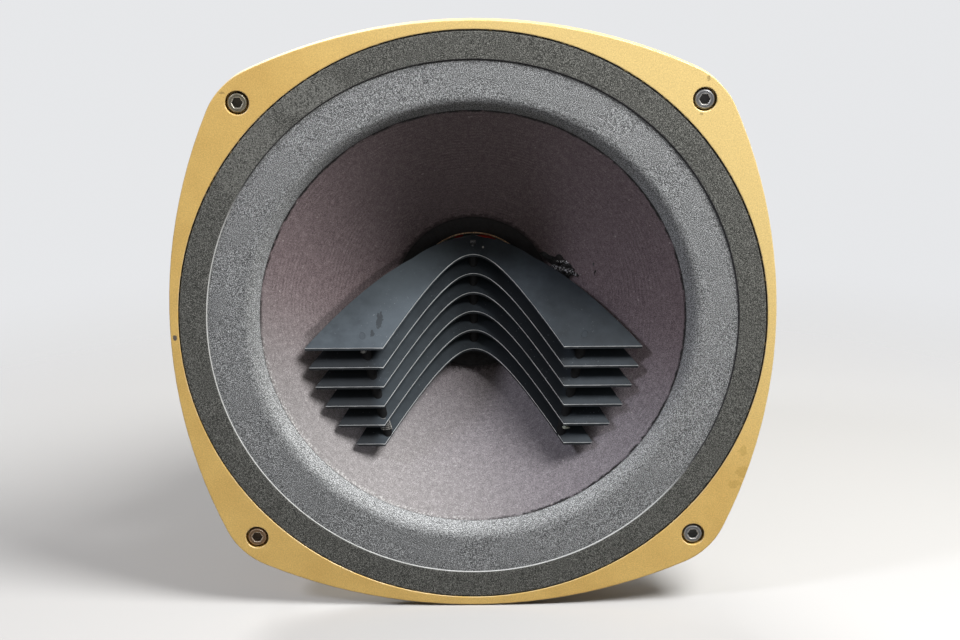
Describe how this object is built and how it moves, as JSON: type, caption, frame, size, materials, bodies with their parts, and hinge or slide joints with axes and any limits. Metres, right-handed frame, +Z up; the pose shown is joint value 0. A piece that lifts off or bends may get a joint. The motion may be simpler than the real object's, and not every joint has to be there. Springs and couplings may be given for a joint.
{
  "type": "coaxial loudspeaker drive unit",
  "caption": "Coaxial loudspeaker with a paper cone on a foam surround in a gold four-cornered basket, and a horn that fires through a lens of slanted plates.",
  "frame": {"origin": "centre of the flange's rear seating face, on the axis of the cone and the horn", "axes": "+Y along the axis towards the rear, the sound leaves along -Y, +Z up with the flange's sides level and upright, +X to the right as seen from the front"},
  "size_m": [0.3088, 0.197, 0.3088],
  "materials": {
    "gold_paint": "satin gold paint on cast metal, worn at the edges",
    "felt": "grey pressed gasket ring, dusty",
    "foam": "grey speckled foam",
    "paper": "brown felted paper",
    "dope": "black sealing compound, slightly shiny",
    "kraft": "varnished brown paper",
    "copper": "enamelled and braided copper",
    "cloth": "resin-stiffened woven cloth",
    "lens_paint": "satin blue-black paint, bright at worn edges",
    "steel": "turned and plated iron",
    "zinc": "zinc-plated steel",
    "ferrite": "dark grey ceramic magnet",
    "phenolic": "brown laminated board",
    "brass": "tinned brass",
    "aluminium": "turned aluminium",
    "plug": "black moulding",
    "screw_steel": "blackened steel, worn bright at the rim"
  },
  "bodies": {
    "frame": {"chassis": "gold_paint", "gasket_ring": "felt", "foam_surround": "foam", "spider": "cloth", "tinsel_leads": "copper", "terminal_board": "phenolic", "terminal_tags": "brass", "terminal_rivets": "zinc", "top_plate": "steel", "ring_magnet": "ferrite", "back_plate": "steel", "pole_piece": "steel", "magnet_screws": "zinc", "horn": "aluminium", "lens_plate_1": "lens_paint", "lens_plate_2": "lens_paint", "lens_plate_3": "lens_paint", "lens_plate_4": "lens_paint", "lens_plate_5": "lens_paint", "lens_plate_6": "lens_paint", "lens_rods": "lens_paint", "lens_spacers": "lens_paint", "hf_yoke": "steel", "hf_magnet": "ferrite", "hf_rear_plate": "steel", "phase_plug": "plug", "hf_suspension": "kraft", "hf_spacer_ring": "phenolic", "hf_clamp_ring": "phenolic", "clamp_screws": "zinc", "hf_cover": "gold_paint", "cover_screws": "zinc", "yoke_screws": "zinc", "hf_bushes": "phenolic", "hf_tags": "brass", "mounting_screws": "screw_steel"},
    "cone_assembly": {"cone": "paper", "neck_ring": "dope", "voice_coil_former": "kraft", "voice_coil": "copper", "lead_anchors": "dope"},
    "hf_dome": {"hf_diaphragm": "aluminium", "hf_voice_coil": "copper"}
  },
  "joints": [
    {"name": "cone_stroke", "type": "slide", "parent": "frame", "child": "cone_assembly", "axis": [0, 1, 0], "range_m": [-0.004, 0.004], "stiffness_N_per_m": 2000, "deforming": ["foam_surround", "spider", "tinsel_leads"]},
    {"name": "hf_stroke", "type": "slide", "parent": "frame", "child": "hf_dome", "axis": [0, 1, 0], "range_m": [-0.0004, 0.0004], "stiffness_N_per_m": 5000, "deforming": ["hf_suspension"]}
  ]
}
